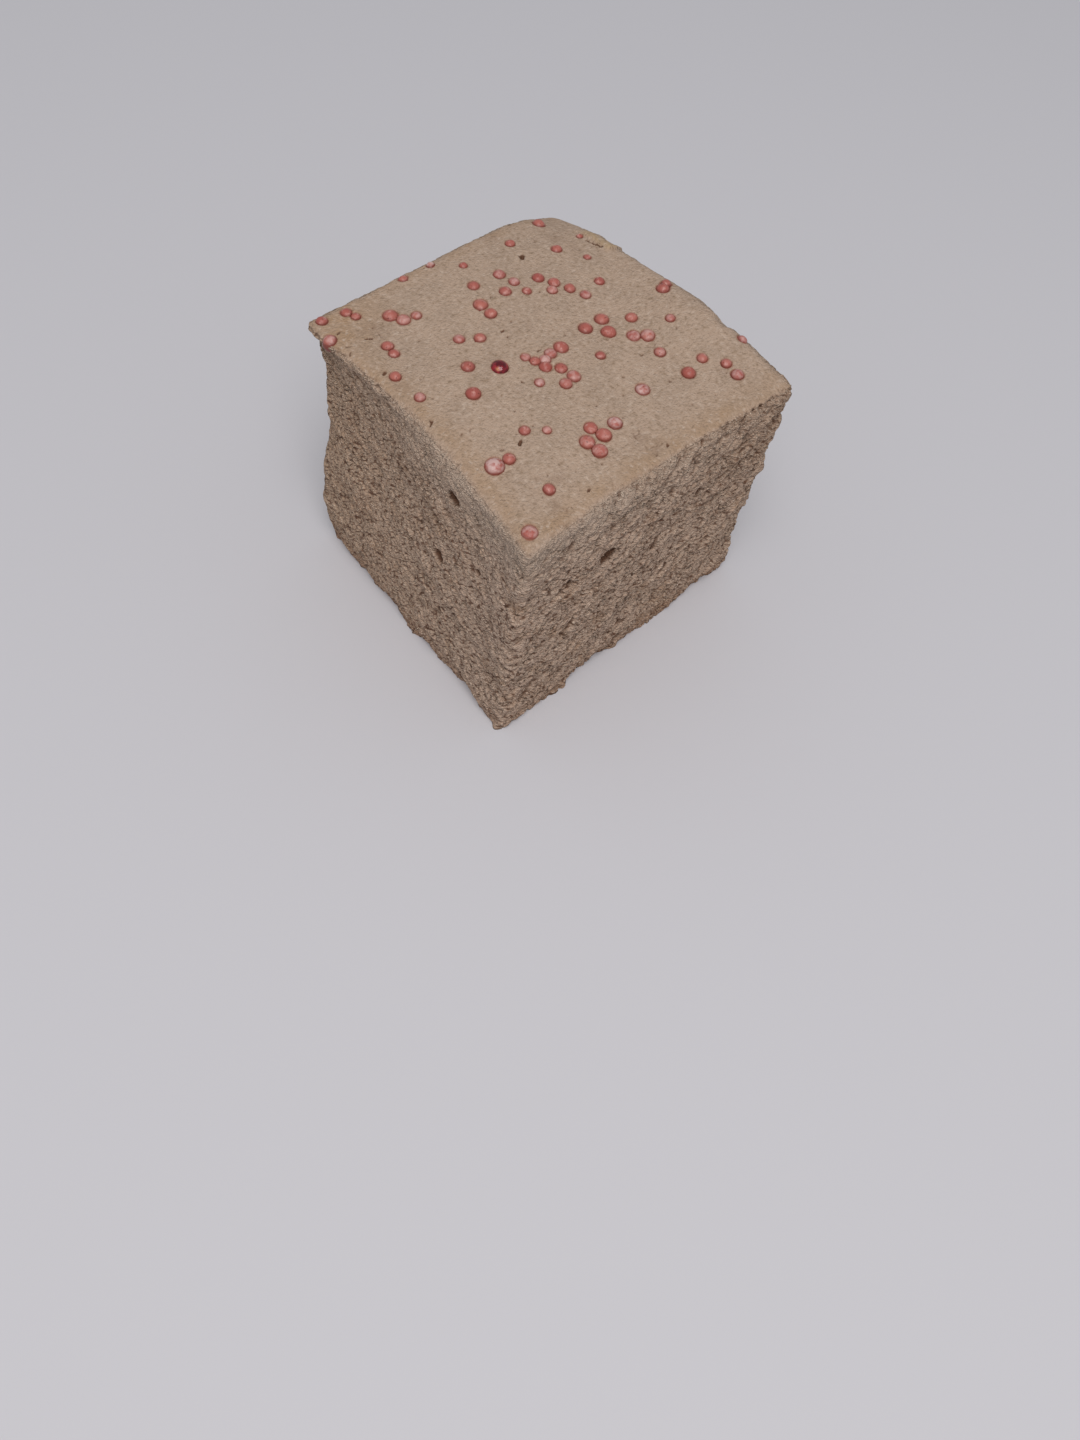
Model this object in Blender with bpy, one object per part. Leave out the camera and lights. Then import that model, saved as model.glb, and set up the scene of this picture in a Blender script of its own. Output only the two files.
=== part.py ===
"""A square-cut marshmallow with sugar beads half sunk in its smooth top.

The block is a rounded cuboid whose eight corners are pulled a little out of true, with a smooth skin on top
and rough, torn crumb on its four cut sides. It stands on its flat base at z = 0, its sides along X and Y.
"""

import math

import bmesh
import bpy
import numpy as np

MM = 0.001

# The block
BLOCK_WIDTH = 56 * MM  # each side, between the sharp edges of the cuboid
BLOCK_HEIGHT = 46 * MM
TOP_EDGE_RADIUS = 1.3 * MM  # the roll of the skin from the top into a side
UPRIGHT_RADII = {  # of each upright edge, in mm at the base and at the top, by its x side and y side
    (-1, -1): (1.5, 1.6),
    (1, -1): (2.2, 2.6),
    (1, 1): (2.2, 3.2),
    (-1, 1): (1.8, 2.2),
}
EDGE_HOLLOW = (1.2 * MM, 7 * MM)  # the top's edges at -X and -Y are drawn in midway: how far, its height

# How far each corner is pulled out of true, in mm: (x side, y side, 1 for the top) to (x, y, z)
CORNER_PULLS = {
    (-1, -1, 1): (1.0, -0.7, 0.0),
    (1, -1, 1): (-0.5, 0.0, 0.0),
    (1, 1, 1): (-1.2, 1.2, -0.2),
    (-1, 1, 1): (4.3, -1.0, 0.6),
    (-1, -1, 0): (-0.7, 0.4, 0.0),
    (1, -1, 0): (-0.4, 2.8, 0.0),
    (1, 1, 0): (0.6, -1.0, 0.0),
    (-1, 1, 0): (0.8, -3.0, 0.0),
}

CUT_WAVE = 1.1 * MM  # the upright edge at -X, +Y swells this much low down, and is hollow high up
CUT_WAVE_START = 0.3  # the share of the way across the block at which the wave begins

# The top
TOP_CROWN = 0.7 * MM  # how far the middle stands above the edges
TOP_WAVE = (0.3 * MM, 15 * MM)  # depth and cell of the gentle waves in the skin
BACK_DROP = (3.3 * MM, 8 * MM)  # the corner at +X, +Y sags by this much, over this distance
CORNER_LIP = (2.8 * MM, 16 * MM, 3 * MM)  # the corner at -X, +Y juts out to -X: how far, reach, depth
EDGE_SWELL = (1.8 * MM, 13 * MM)  # the +X side swells out under the skin, over this length
EDGE_SWELL_AT = -8.7 * MM  # the middle of the swelling, along Y
EDGE_SWELL_START = 0.4  # the share of the half width at which it begins
EDGE_TEARS = ((15.5 * MM, 4 * MM, 0.8 * MM), (-11.5 * MM, 1.5 * MM, 0.7 * MM))  # along Y, half length, depth
TEAR_BAND = (0.7, 0.35)  # where on the roll of the edge they lie, and how wide, by how far it faces sideways

# The crumb of the cut sides
SKIN_DEPTH = 1.6 * MM  # the skin covers this much of each side
SKIN_FADE = 1.4 * MM  # the crumb below takes this far to stand out in full
LUMPS = (0.5 * MM, 9 * MM, 5.5 * MM)  # depth, length and height of the broad lumps
CRAGS = (0.4 * MM, 5.5 * MM, 2.4 * MM)  # the same of the torn layers
LAYER_SLOPES = (0.5, 0.15)  # how steeply the torn layers climb along X and along Y
FOOT_NIBBLE = 0.6 * MM  # how far the lower edge is worn back
FOOT_HEIGHT = 2.5 * MM
FOOT_CELL = 5 * MM  # the length of one worn place
FOOT_WEAR = (0.6, 0.4)  # the usual share of the nibble, and how much it varies

# Open pores that show from a step away: side, along it, height above the base, length. All in mm but the
# side, which counts round from -Y.
OPEN_PORES = (
    (0, -10.6, 33.0, 3.2),
    (0, 9.8, 33.7, 2.2),
    (0, 12.3, 11.6, 2.8),
    (3, 9.9, 40.6, 3.0),
    (3, 7.6, 26.2, 3.0),
    (3, -0.5, 23.1, 2.0),
    (3, 8.5, 14.0, 2.0),
)
PORES_ON_A_HIDDEN_SIDE = 5
PORE_ALONG = (-21, 21)  # mm
PORE_HEIGHTS = (7, 38)  # mm
PORE_LENGTHS = (1.8, 3.2)
PORE_HEIGHT_SHARE = 0.5
PORE_DEPTH_SHARE = 0.42
PORE_SIDES = 7

# The beads lie in short trails, as pinches of them fell: x, y, heading, beads, gap and turn per bead, the
# first bead's diameter and its growth per bead, in mm and degrees. Places are on the cuboid's top.
TRAILS = (
    (20.4, 24.5, 0, 1, 0.0, 0, 2.4, 0.0),
    (17.1, 16.7, 136, 2, 8.1, 0, 2.1, -0.3),
    (17.6, 6.7, 65, 3, 6.2, -8, 1.8, -0.3),
    (4.1, 17.2, 286, 3, 2.9, -10, 2.2, -0.2),
    (-1.4, 17.6, 310, 2, 5.4, 0, 2.3, 0.0),
    (9.1, 12.9, 303, 4, 2.8, -3, 2.2, -0.1),
    (9.1, 9.4, 0, 1, 0.0, 0, 1.9, 0.0),
    (0.6, 22.5, 139, 3, 5.6, 39, 1.5, 0.2),
    (-3.4, 13.5, 270, 2, 2.5, 0, 2.8, -0.6),
    (24.6, -1.0, 27, 2, 1.3, 0, 2.3, -0.5),
    (-26.8, 21.8, 65, 2, 4.5, 0, 2.5, -0.5),
    (-20.8, 25.2, 290, 2, 1.7, 0, 2.0, -0.3),
    (-16.1, 20.5, 294, 3, 2.2, 54, 2.6, -0.3),
    (11.6, 0.0, 182, 3, 3.8, 132, 2.8, -0.1),
    (15.9, -2.6, 231, 2, 4.0, 0, 2.1, 0.4),
    (15.3, -7.0, 0, 1, 0.0, 0, 2.6, 0.0),
    (20.7, -6.6, 304, 2, 11.4, 0, 1.7, 0.3),
    (-11.3, 9.7, 327, 2, 3.4, 0, 2.0, 0.2),
    (-20.9, 15.4, 260, 2, 1.9, 0, 2.0, -0.1),
    (-24.5, 9.6, 272, 2, 5.6, 0, 1.9, 0.1),
    (1.3, -1.2, 0, 1, 0.0, 0, 2.7, 0.0),
    (-1.1, -1.3, 196, 4, 1.7, -39, 2.2, -0.1),
    (-3.7, -3.0, 321, 3, 2.5, -35, 2.2, 0.1),
    (-3.2, -7.4, 145, 2, 4.3, 0, 2.1, -0.3),
    (5.7, -6.0, 332, 2, 10.0, 0, 1.9, 0.2),
    (15.2, -16.5, 13, 2, 3.9, 0, 2.4, -0.5),
    (21.4, -18.5, 267, 2, 2.6, 0, 1.9, 0.3),
    (-14.2, 4.2, 323, 2, 5.2, 0, 2.6, 0.4),
    (-17.1, -0.6, 0, 1, 0.0, 0, 2.5, 0.0),
    (6.6, -15.0, 0, 1, 0.0, 0, 2.7, 0.0),
    (-14.9, -10.8, 326, 2, 3.6, 0, 2.0, -0.5),
    (-1.7, -17.6, 195, 3, 3.2, 23, 2.7, -0.1),
    (-5.7, -16.3, 218, 2, 2.8, 0, 2.3, 0.4),
    (-20.1, -13.3, 171, 2, 2.7, 0, 2.1, 1.1),
    (-18.2, -21.0, 0, 1, 0.0, 0, 2.1, 0.0),
    (-25.1, -24.8, 0, 1, 0.0, 0, 2.7, 0.0),
)
BEAD_SINK = (0.3, 0.55)  # where a bead's centre lies below the skin, as a share of its radius
BEAD_SIDES = 7
PIP_RINGS = (38, 80)  # degrees from the crown of a bead or a pore to its two rings of corners
SEED = 41

# The net of faces
PLAN_STEPS = 18  # between the rounded edges, along a side
RISE_STEPS = 24  # from the base to the skin's edge
ARC_DEGREES = (15, 30, 45)

MARSHMALLOW_COLOUR = (0.36, 0.27, 0.2, 1)
MARSHMALLOW_ROUGHNESS = 0.85
SHARP_DEGREES = 50  # edges that turn more than this look sharp


def blend(low, high, value):
    """0 below low, 1 above high, and an S-shaped rise between them."""
    t = np.clip((value - low) / (high - low), 0, 1)
    return t * t * (3 - 2 * t)


def lattice_value(i, j, k, seed):
    """A number from -1 to 1 for each lattice point, from whole-number mixing."""
    h = (i * 73856093) ^ (j * 19349663) ^ (k * 83492791) ^ (seed * 2654435761)
    h = (h ^ (h >> 13)) & 0xFFFFFFFF
    h = (h * 1274126177) & 0xFFFFFFFF
    h = h ^ (h >> 16)
    return h / 0x7FFFFFFF - 1


def noise(points, cell, seed):
    """Smooth random hills: lattice values at steps of the cell's three sizes, blended between neighbours."""
    q = points / np.array(cell)
    low = np.floor(q).astype(np.int64)
    t = q - low
    t = t * t * (3 - 2 * t)
    total = np.zeros(len(points))
    for corner in range(8):
        step = np.array([corner & 1, (corner >> 1) & 1, (corner >> 2) & 1])
        share = np.prod(np.where(step == 1, t, 1 - t), axis=1)
        total += share * lattice_value(*(low + step).T, seed)
    return total


def near_corner(points, sx, sy):
    """How near points are to one upright edge: 1 on it, 0 on the two sides that face it."""
    half = BLOCK_WIDTH / 2
    return (0.5 + 0.5 * sx * points[:, 0] / half) * (0.5 + 0.5 * sy * points[:, 1] / half)


def round_over(cage):
    """Points of the rounded cuboid, and the way each one faces, from points of the sharp one."""
    half = BLOCK_WIDTH / 2
    rise = cage[:, 2] / BLOCK_HEIGHT
    radius = np.zeros(len(cage))
    for (sx, sy), (base, top) in UPRIGHT_RADII.items():
        radius += near_corner(cage, sx, sy) * (base + (top - base) * rise) * MM
    core = cage.copy()
    for axis in (0, 1):
        core[:, axis] = np.clip(cage[:, axis], radius - half, half - radius)
    core[:, 2] = np.minimum(cage[:, 2], BLOCK_HEIGHT - TOP_EDGE_RADIUS)
    radii = np.stack([radius, radius, np.full(len(cage), TOP_EDGE_RADIUS)], axis=1)
    way = (cage - core) / radii
    way /= np.linalg.norm(way, axis=1)[:, None]
    return core + way * radii, way


def pull_corners(points):
    """Moves points with the cuboid's eight corners, in proportion to how near each one is."""
    moved = points.copy()
    rise = points[:, 2] / BLOCK_HEIGHT
    for (sx, sy, top), pull in CORNER_PULLS.items():
        share = near_corner(points, sx, sy) * (rise if top else 1 - rise)
        moved += share[:, None] * np.array(pull) * MM
    return moved


def draw_in(points):
    """Hollows the top's edges at -X and -Y, and lets one top corner jut out, both in plan."""
    half = BLOCK_WIDTH / 2
    moved = points.copy()
    depth, height = EDGE_HOLLOW
    rise = np.clip((points[:, 2] - BLOCK_HEIGHT + height) / height, 0, 1)
    x, y = points[:, 0] / half, points[:, 1] / half
    moved[:, 0] += depth * rise**2 * (1 - y**2) * (0.5 - 0.5 * x)
    moved[:, 1] += depth * rise**2 * (1 - x**2) * (0.5 - 0.5 * y)
    depth, reach, height = CORNER_LIP
    near = np.exp(-((np.hypot(points[:, 0] + half, points[:, 1] - half) / reach) ** 2))
    near *= blend(BLOCK_HEIGHT - height, BLOCK_HEIGHT, points[:, 2])
    moved[:, 0] -= depth * near
    return moved


def crumb_relief(points, way):
    """How far the torn crumb stands out: broad lumps and sloping layers, worn back at the foot."""
    skin_edge = BLOCK_HEIGHT - SKIN_DEPTH
    on_side = np.hypot(way[:, 0], way[:, 1])
    on_side *= 1 - blend(skin_edge - SKIN_FADE, skin_edge + SKIN_FADE, points[:, 2])
    layered = points.copy()
    layered[:, 2] -= points[:, :2] @ np.array(LAYER_SLOPES)
    relief = np.zeros(len(points))
    for number, (depth, length, height) in enumerate((LUMPS, CRAGS)):
        relief += depth * noise(layered, (length, length, height), SEED + number)
    usual, change = FOOT_WEAR
    worn = FOOT_NIBBLE * (usual + change * noise(points, (FOOT_CELL, FOOT_CELL, FOOT_CELL), SEED + 2))
    return relief * on_side - worn * (1 - blend(0, FOOT_HEIGHT, points[:, 2]))


def edge_relief(points, way):
    """How far the cut sides and edges swell out or are torn back."""
    half = BLOCK_WIDTH / 2
    x, y = points[:, 0], points[:, 1]
    rise = points[:, 2] / BLOCK_HEIGHT
    swell, length = EDGE_SWELL
    relief = swell * rise**3 * np.exp(-(((y - EDGE_SWELL_AT) / length) ** 2))
    relief *= blend(EDGE_SWELL_START, 1, x / half)
    near_edge = blend(CUT_WAVE_START, 1, 0.5 + 0.25 * (y - x) / half)
    relief += CUT_WAVE * near_edge * np.sin(2 * math.pi * rise)
    middle, spread = TEAR_BAND
    on_roll = (way[:, 0] > 0) * rise**6 * np.exp(-(((way[:, 0] - middle) / spread) ** 2))
    for along, length, depth in EDGE_TEARS:
        relief -= depth * on_roll * np.exp(-(((y - along) / length) ** 4))
    return relief


def form(cage):
    """The true surface: rounded, relieved along the way it faces, crowned, sagged and pulled out of true."""
    points, way = round_over(cage)
    wave_depth, wave_cell = TOP_WAVE
    relief = crumb_relief(points, way) + edge_relief(points, way)
    relief += wave_depth * way[:, 2] * noise(points, (wave_cell, wave_cell, wave_cell), SEED + 3)
    half = BLOCK_WIDTH / 2
    x, y = points[:, 0] / half, points[:, 1] / half
    drop, drop_length = BACK_DROP
    from_corner = np.hypot(x - 1, y - 1) * half
    lift = TOP_CROWN * (1 - x**2) * (1 - y**2) - drop * np.exp(-((from_corner / drop_length) ** 2))
    lift *= (points[:, 2] / BLOCK_HEIGHT) ** 3
    points = draw_in(points + relief[:, None] * way)
    points[:, 2] += lift
    return pull_corners(points)


def plan_stations():
    """Places along one side of the sharp cuboid, close together where its edges are rounded."""
    half = BLOCK_WIDTH / 2
    radius = np.mean(list(UPRIGHT_RADII.values())) * MM
    arc = half - radius + radius * np.tan(np.radians(ARC_DEGREES))
    flat = np.linspace(radius - half, half - radius, PLAN_STEPS + 1)
    return np.concatenate([-arc[::-1], flat, arc])


def rise_stations():
    """Heights on the sharp cuboid, from the base to the top."""
    skin_edge = BLOCK_HEIGHT - TOP_EDGE_RADIUS
    flat = np.linspace(0, skin_edge, RISE_STEPS + 1)
    arc = skin_edge + TOP_EDGE_RADIUS * np.tan(np.radians(ARC_DEGREES))
    return np.concatenate([flat, arc])


def add_grid(mesh, cage, rows, columns):
    """Adds a net of four-sided faces on the true surface and returns its corners, row by row."""
    points = form(cage)
    corners = [mesh.verts.new(point) for point in points]
    net = [corners[row * columns:(row + 1) * columns] for row in range(rows)]
    for lower, upper in zip(net, net[1:]):
        for column in range(columns - 1):
            mesh.faces.new((lower[column], lower[column + 1], upper[column + 1], upper[column]))
    return net


def block_mesh():
    """The block without beads: four sides, the top, and one flat face below."""
    mesh = bmesh.new()
    plan = plan_stations()
    rise = rise_stations()
    half = BLOCK_WIDTH / 2
    along, height = np.meshgrid(plan, rise)
    side = np.stack([along.ravel(), np.full(along.size, -half), height.ravel()], axis=1)
    foot = []
    for quarter in range(4):
        turn = quarter * math.pi / 2
        c, s = round(math.cos(turn)), round(math.sin(turn))
        turned = side @ np.array([[c, s, 0], [-s, c, 0], [0, 0, 1]])
        net = add_grid(mesh, turned, len(rise), len(plan))
        foot += net[0][:-1]
    across, deep = np.meshgrid(plan, plan)
    top = np.stack([across.ravel(), deep.ravel(), np.full(across.size, BLOCK_HEIGHT)], axis=1)
    add_grid(mesh, top, len(plan), len(plan))
    mesh.faces.new(foot[::-1])
    bmesh.ops.remove_doubles(mesh, verts=mesh.verts, dist=0.001 * MM)
    bmesh.ops.triangulate(mesh, faces=mesh.faces)
    return mesh


def top_cage(places):
    """Points of the sharp cuboid from places on its top. What runs past an edge goes on down the side."""
    half = BLOCK_WIDTH / 2
    kept = np.clip(places, -half, half)
    over = np.abs(places - kept).sum(axis=1)
    return np.column_stack([kept, BLOCK_HEIGHT - over])


def on_top(x, y):
    """A point of the true top surface, and the way it faces, from a place on the cuboid's top in metres."""
    step = 0.5 * MM
    here, right, back = form(top_cage(np.array([(x, y), (x + step, y), (x, y + step)])))
    way = np.cross(right - here, back - here)
    return here, way / np.linalg.norm(way)


def axes_round(way):
    """Two directions square to a given one and to each other, then the given one."""
    helper = np.array([1.0, 0.0, 0.0]) if abs(way[0]) < 0.8 else np.array([0.0, 1.0, 0.0])
    first = np.cross(helper, way)
    first /= np.linalg.norm(first)
    return first, np.cross(way, first), way


def add_pip(mesh, centre, axes, sizes, sides, spin):
    """A closed faceted pip: a crown, two rings of corners and a root. sizes are its half lengths along the
    axes, and the crown lies along the third one."""
    first, second, way = (axis * size for axis, size in zip(axes, sizes))
    rings = []
    for degrees in PIP_RINGS:
        level = math.cos(math.radians(degrees))
        reach = math.sin(math.radians(degrees))
        ring = []
        for side in range(sides):
            turn = spin + 2 * math.pi * side / sides
            offset = reach * (first * math.cos(turn) + second * math.sin(turn))
            ring.append(mesh.verts.new(centre + offset + way * level))
        rings.append(ring)
    crown = mesh.verts.new(centre + way)
    root = mesh.verts.new(centre - way)
    upper, lower = rings
    for side in range(sides):
        after = (side + 1) % sides
        mesh.faces.new((crown, upper[side], upper[after]))
        mesh.faces.new((upper[side], lower[side], lower[after], upper[after]))
        mesh.faces.new((lower[side], root, lower[after]))


def bead_places():
    """The place of each bead on the cuboid's top and its radius, in metres, trail by trail."""
    places = []
    for x, y, heading, count, gap, turn, diameter, growth in TRAILS:
        for _ in range(count):
            places.append((x * MM, y * MM, diameter / 2 * MM))
            x += gap * math.cos(math.radians(heading))
            y += gap * math.sin(math.radians(heading))
            heading += turn
            diameter += growth
    return places


def bead_objects():
    """One closed pip for each bead, sunk to its own depth in the skin."""
    draw = np.random.RandomState(SEED)
    objects = []
    for number, (x, y, radius) in enumerate(bead_places()):
        sink = draw.uniform(*BEAD_SINK) * radius
        spin = draw.uniform(0, 2 * math.pi)
        surface, way = on_top(x, y)
        mesh = bmesh.new()
        add_pip(mesh, surface - way * sink, axes_round(way), (radius, radius, radius), BEAD_SIDES, spin)
        objects.append(object_from(mesh, f"bead_{number}"))
    return objects


def pore_places():
    """The open pores: those named above, then a seeded draw for the other two sides."""
    draw = np.random.RandomState(SEED + 1)
    places = list(OPEN_PORES)
    for side in (1, 2):
        for _ in range(PORES_ON_A_HIDDEN_SIDE):
            along = draw.uniform(*PORE_ALONG)
            height = draw.uniform(*PORE_HEIGHTS)
            places.append((side, along, height, draw.uniform(*PORE_LENGTHS)))
    return places


def pore_cutters():
    """One closed pip for each open pore, long along the torn layers and sunk across the side's surface."""
    objects = []
    up = np.array([0.0, 0.0, 1.0])
    for number, (side, along, height, length) in enumerate(pore_places()):
        turn = side * math.pi / 2
        out = np.array([math.sin(turn), -math.cos(turn), 0.0])
        level = np.array([math.cos(turn), math.sin(turn), 0.0])
        run = level + up * (level[:2] @ np.array(LAYER_SLOPES))
        run /= np.linalg.norm(run)
        cage = out * BLOCK_WIDTH / 2 + level * along * MM + up * height * MM
        surface = form(cage[None, :])[0]
        sizes = np.array([0.5, PORE_HEIGHT_SHARE / 2, PORE_DEPTH_SHARE]) * length * MM
        mesh = bmesh.new()
        add_pip(mesh, surface, (run, np.cross(run, out), -out), sizes, PORE_SIDES, number)
        objects.append(object_from(mesh, f"pore_{number}"))
    return objects


def object_from(mesh, name):
    """A scene object from a bmesh, with its faces turned outwards."""
    bmesh.ops.recalc_face_normals(mesh, faces=mesh.faces)
    data = bpy.data.meshes.new(name)
    mesh.to_mesh(data)
    mesh.free()
    thing = bpy.data.objects.new(name, data)
    bpy.context.scene.collection.objects.link(thing)
    return thing


def combine(block, others, operation):
    """Joins or cuts a list of closed objects into the block by one Boolean, then removes them."""
    group = bpy.data.collections.new(f"{operation.lower()}_pieces")
    bpy.context.scene.collection.children.link(group)
    for thing in others:
        bpy.context.scene.collection.objects.unlink(thing)
        group.objects.link(thing)
    step = block.modifiers.new(operation.title(), "BOOLEAN")
    step.operation = operation
    step.operand_type = "COLLECTION"
    step.collection = group
    step.solver = "EXACT"
    bpy.context.view_layer.objects.active = block
    bpy.context.view_layer.update()
    bpy.ops.object.modifier_apply(modifier=step.name)
    for thing in others:
        bpy.data.objects.remove(thing)
    bpy.data.collections.remove(group)


def marshmallow_material():
    """Greyish tan, and dull all over."""
    material = bpy.data.materials.new("marshmallow")
    material.use_nodes = True
    shader = material.node_tree.nodes["Principled BSDF"]
    shader.inputs["Base Color"].default_value = MARSHMALLOW_COLOUR
    shader.inputs["Roughness"].default_value = MARSHMALLOW_ROUGHNESS
    shader.inputs["Metallic"].default_value = 0
    return material


def main():
    for thing in list(bpy.data.objects):
        bpy.data.objects.remove(thing)
    block = object_from(block_mesh(), "marshmallow")
    combine(block, pore_cutters(), "DIFFERENCE")
    combine(block, bead_objects(), "UNION")
    block.data.materials.clear()
    block.data.materials.append(marshmallow_material())
    block.data.shade_smooth()
    block.data.set_sharp_from_angle(angle=math.radians(SHARP_DEGREES))
    print(len(block.data.polygons), "faces")


main()
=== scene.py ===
# A square-cut brown marshmallow with coral sugar beads on its skin, dressed over its plain solid.
import math

import bpy
import numpy as np
from mathutils import Matrix, Vector


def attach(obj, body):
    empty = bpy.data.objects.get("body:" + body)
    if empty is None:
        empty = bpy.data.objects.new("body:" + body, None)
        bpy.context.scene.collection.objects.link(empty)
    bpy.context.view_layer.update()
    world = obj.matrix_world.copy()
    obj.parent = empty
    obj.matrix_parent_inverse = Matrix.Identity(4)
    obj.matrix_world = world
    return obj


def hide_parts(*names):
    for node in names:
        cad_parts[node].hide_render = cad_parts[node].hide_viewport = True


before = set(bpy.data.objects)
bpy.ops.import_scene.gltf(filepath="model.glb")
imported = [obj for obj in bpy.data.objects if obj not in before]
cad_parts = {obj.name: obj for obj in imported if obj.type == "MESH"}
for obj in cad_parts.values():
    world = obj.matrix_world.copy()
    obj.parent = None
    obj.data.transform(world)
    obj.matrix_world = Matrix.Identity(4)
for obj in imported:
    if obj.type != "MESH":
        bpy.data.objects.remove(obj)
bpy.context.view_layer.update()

mm = 0.001
node = "marshmallow"
seed = 41


# Number tools, all on whole arrays

# 0 below low, 1 above high, and an S-shaped rise between them
def blend(low, high, value):
    t = np.clip((value - low) / (high - low), 0, 1)
    return t * t * (3 - 2 * t)


# Whole-number mixing of a lattice point's three indexes: a number from -1 to 1 for each
def latticeValue(i, j, k, which):
    h = (i * 73856093) ^ (j * 19349663) ^ (k * 83492791) ^ (which * 2654435761)
    h = (h ^ (h >> 13)) & 0xFFFFFFFF
    h = (h * 1274126177) & 0xFFFFFFFF
    h = h ^ (h >> 16)
    return h / 0x7FFFFFFF - 1


# Smooth random hills from -1 to 1: the values of the eight lattice points round a point, a cell apart, each
# weighed by how near it is along every axis on an S-shaped curve
def hills(points, cell, which):
    q = points / np.array(cell)
    low = np.floor(q).astype(np.int64)
    t = q - low
    t = t * t * (3 - 2 * t)
    total = np.zeros(len(points))
    for corner in range(8):
        step = np.array([corner & 1, (corner >> 1) & 1, (corner >> 2) & 1])
        share = np.prod(np.where(step == 1, t, 1 - t), axis=1)
        total += share * latticeValue(*(low + step).T, which)
    return total


# Scattered round pits: each box of the lattice may hold one, of seeded place and size. The depth at a point
# is 1 less the square of the way out, by the pit's size over the largest.
def pits(points, cell, chance, sizes, which, flatten=False):
    weights = np.array([1, 1, 0 if flatten else 1])
    q = points / np.array(cell)
    low = np.floor(q).astype(np.int64)
    deepest = np.zeros(len(points))
    for x in (-1, 0, 1):
        for y in (-1, 0, 1):
            for z in (-1, 0, 1):
                box = low + np.array([x, y, z])
                at = [0.5 + 0.5 * latticeValue(*box.T, which + n) for n in range(3)]
                size = 0.5 + 0.5 * latticeValue(*box.T, which + 3)
                here = 0.5 + 0.5 * latticeValue(*box.T, which + 4) < chance
                size = sizes[0] + (sizes[1] - sizes[0]) * size
                away = (q - box - np.stack(at, axis=1)) ** 2 @ weights / size**2
                depth = np.where(here, (1 - away) * size / sizes[1], 0)
                deepest = np.maximum(deepest, depth)
    return deepest


# The block's main form, the same as the solid's

block = dict(
    width=56 * mm,
    height=46 * mm,
    topEdgeRadius=1.3 * mm,
    uprightRadii={  # mm at the base and at the top, by x side and y side
        (-1, -1): (1.5, 1.6),
        (1, -1): (2.2, 2.6),
        (1, 1): (2.2, 3.2),
        (-1, 1): (1.8, 2.2),
    },
    cornerPulls={  # mm, by x side, y side, 1 for the top
        (-1, -1, 1): (1.0, -0.7, 0.0),
        (1, -1, 1): (-0.5, 0.0, 0.0),
        (1, 1, 1): (-1.2, 1.2, -0.2),
        (-1, 1, 1): (4.3, -1.0, 0.6),
        (-1, -1, 0): (-0.7, 0.4, 0.0),
        (1, -1, 0): (-0.4, 2.8, 0.0),
        (1, 1, 0): (0.6, -1.0, 0.0),
        (-1, 1, 0): (0.8, -3.0, 0.0),
    },
    edgeHollow=(1.2 * mm, 7 * mm),  # the top's edges at -X and -Y are drawn in midway: how far, its height
    cornerLip=(2.8 * mm, 16 * mm, 3 * mm),  # the corner at -X, +Y juts out to -X: how far, reach, depth
    cutWave=(1.1 * mm, 0.3),  # the slight S of the upright edge at -X, +Y, and where it starts across
    topCrown=0.7 * mm,  # how far the middle stands above the edges
    topWave=(0.3 * mm, 15 * mm),  # depth, cell
    backDrop=(3.3 * mm, 8 * mm),  # depth, reach
    edgeSwell=(1.8 * mm, 13 * mm, -8.7 * mm, 0.4),  # depth, length, along Y, where it starts across X
    edgeTears=(  # along Y, half length, depth
        (15.5 * mm, 4 * mm, 0.8 * mm),
        (-11.5 * mm, 1.5 * mm, 0.7 * mm),
    ),
    tearBand=(0.7, 0.35),  # where on the roll of the edge the tears lie, and how wide, by how it faces
    skinDepth=1.6 * mm,
    skinFade=1.4 * mm,
    lumps=(0.5 * mm, 9 * mm, 5.5 * mm),  # depth, length, height
    crags=(0.4 * mm, 5.5 * mm, 2.4 * mm),
    layerSlopes=(0.5, 0.15),  # how steeply the torn layers climb along X and along Y
    footNibble=0.6 * mm,  # how far the lower edge is worn back, up to what height, over what length
    footHeight=2.5 * mm,
    footCell=5 * mm,
    footWear=(0.6, 0.4),  # the usual share of the nibble, and how much it varies
)
half = block["width"] / 2
high = block["height"]


# How near points are to one upright edge: 1 on it, 0 on the two sides that face it
def nearCorner(points, sx, sy):
    return (0.5 + 0.5 * sx * points[:, 0] / half) * (0.5 + 0.5 * sy * points[:, 1] / half)


# The distance in plan from one corner
def fromCorner(points, sx, sy):
    return np.hypot(points[:, 0] - sx * half, points[:, 1] - sy * half)


# Points of the rounded cuboid, and the way each one faces, from points of the sharp one: a point keeps its
# direction from the nearest point of the core, at the edges' radius
def roundOver(cage):
    rise = cage[:, 2] / high
    radius = np.zeros(len(cage))
    for (sx, sy), (atBase, atTop) in block["uprightRadii"].items():
        radius += nearCorner(cage, sx, sy) * (atBase + (atTop - atBase) * rise) * mm
    core = cage.copy()
    for axis in (0, 1):
        core[:, axis] = np.clip(cage[:, axis], radius - half, half - radius)
    core[:, 2] = np.minimum(cage[:, 2], high - block["topEdgeRadius"])
    radii = np.stack([radius, radius, np.full(len(cage), block["topEdgeRadius"])], axis=1)
    way = (cage - core) / radii
    way /= np.linalg.norm(way, axis=1)[:, None]
    return core + way * radii, way


# Each of the eight corners moves the points in proportion to how near they are, along each axis
def pullCorners(points):
    moved = points.copy()
    rise = points[:, 2] / high
    for (sx, sy, top), pull in block["cornerPulls"].items():
        share = nearCorner(points, sx, sy) * (rise if top else 1 - rise)
        moved += share[:, None] * np.array(pull) * mm
    return moved


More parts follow.
